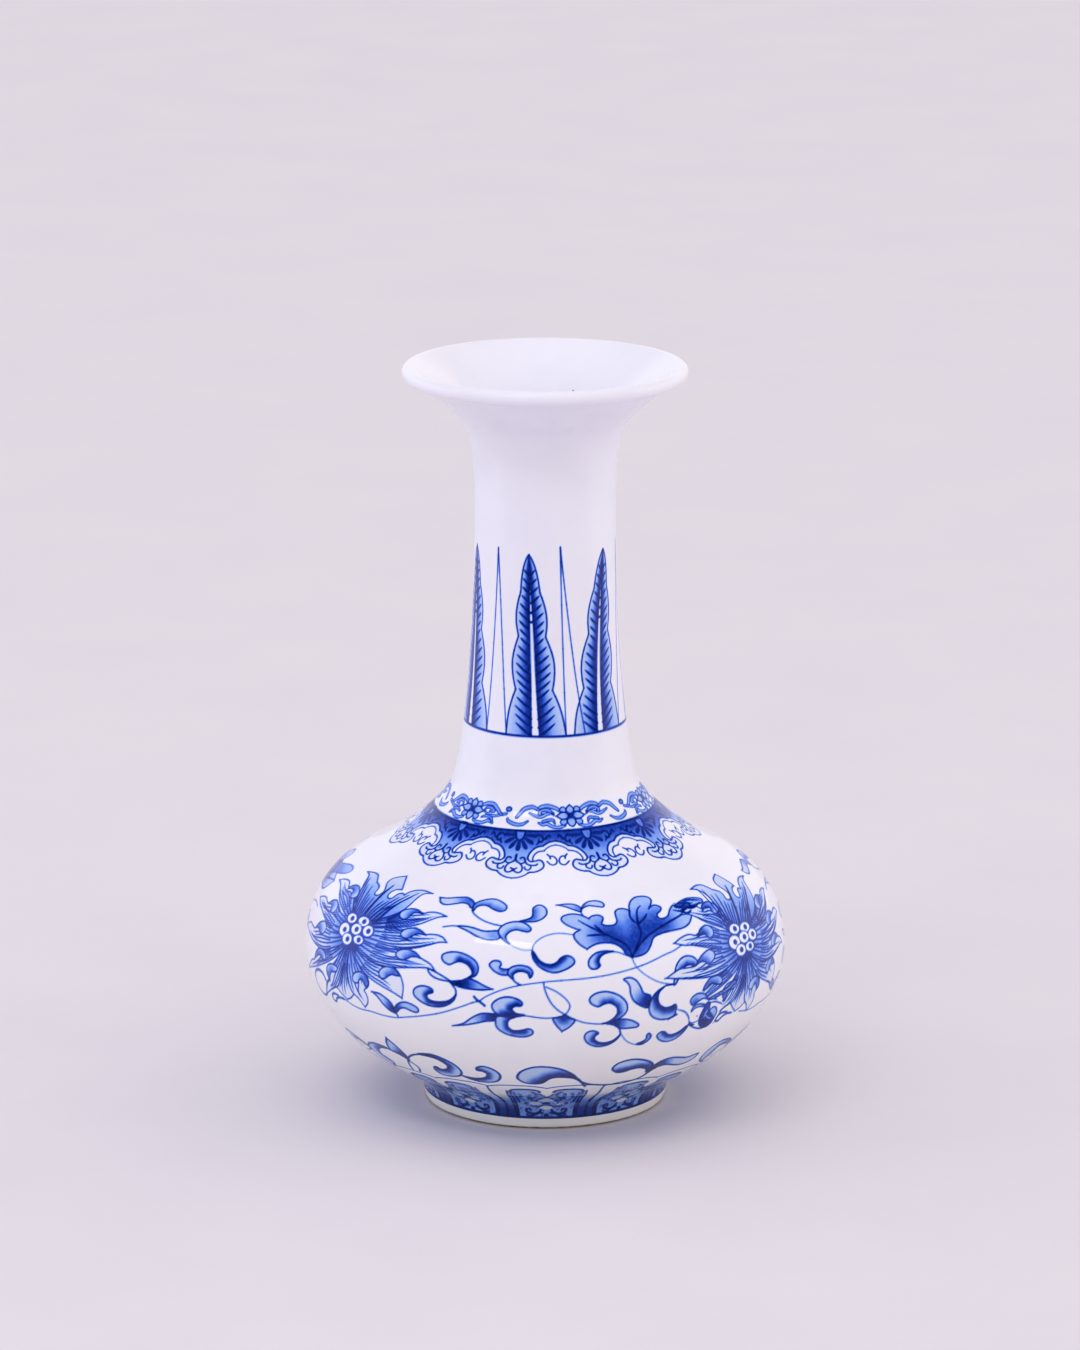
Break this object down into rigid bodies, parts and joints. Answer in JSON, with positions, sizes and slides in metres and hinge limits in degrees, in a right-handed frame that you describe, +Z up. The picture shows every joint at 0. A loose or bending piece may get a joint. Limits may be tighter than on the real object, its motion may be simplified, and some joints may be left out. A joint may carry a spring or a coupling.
{
  "type": "porcelain bottle vase",
  "caption": "Porcelain bottle vase with a flared mouth, a tall slender neck, a squat round body and a low foot ring, painted in underglaze blue.",
  "frame": {"origin": "centre of the foot ring's bearing plane", "axes": "+Z up along the vase's axis of revolution, -Y towards the painted front"},
  "size_m": [0.1286, 0.1286, 0.2],
  "materials": {
    "glazed_porcelain": "clear glossy glaze over white porcelain with cobalt blue painting under it",
    "foot_biscuit": "glazed outside, bare cream biscuit on the bearing edge",
    "luting_slip": "fired porcelain slip, matt"
  },
  "bodies": {
    "root": {"mouth_and_neck": "glazed_porcelain", "shoulder_section": "glazed_porcelain", "belly_section": "glazed_porcelain", "foot_ring": "foot_biscuit", "neck_luting_slip": "luting_slip", "belly_luting_slip": "luting_slip", "foot_luting_slip": "luting_slip"}
  },
  "joints": []
}
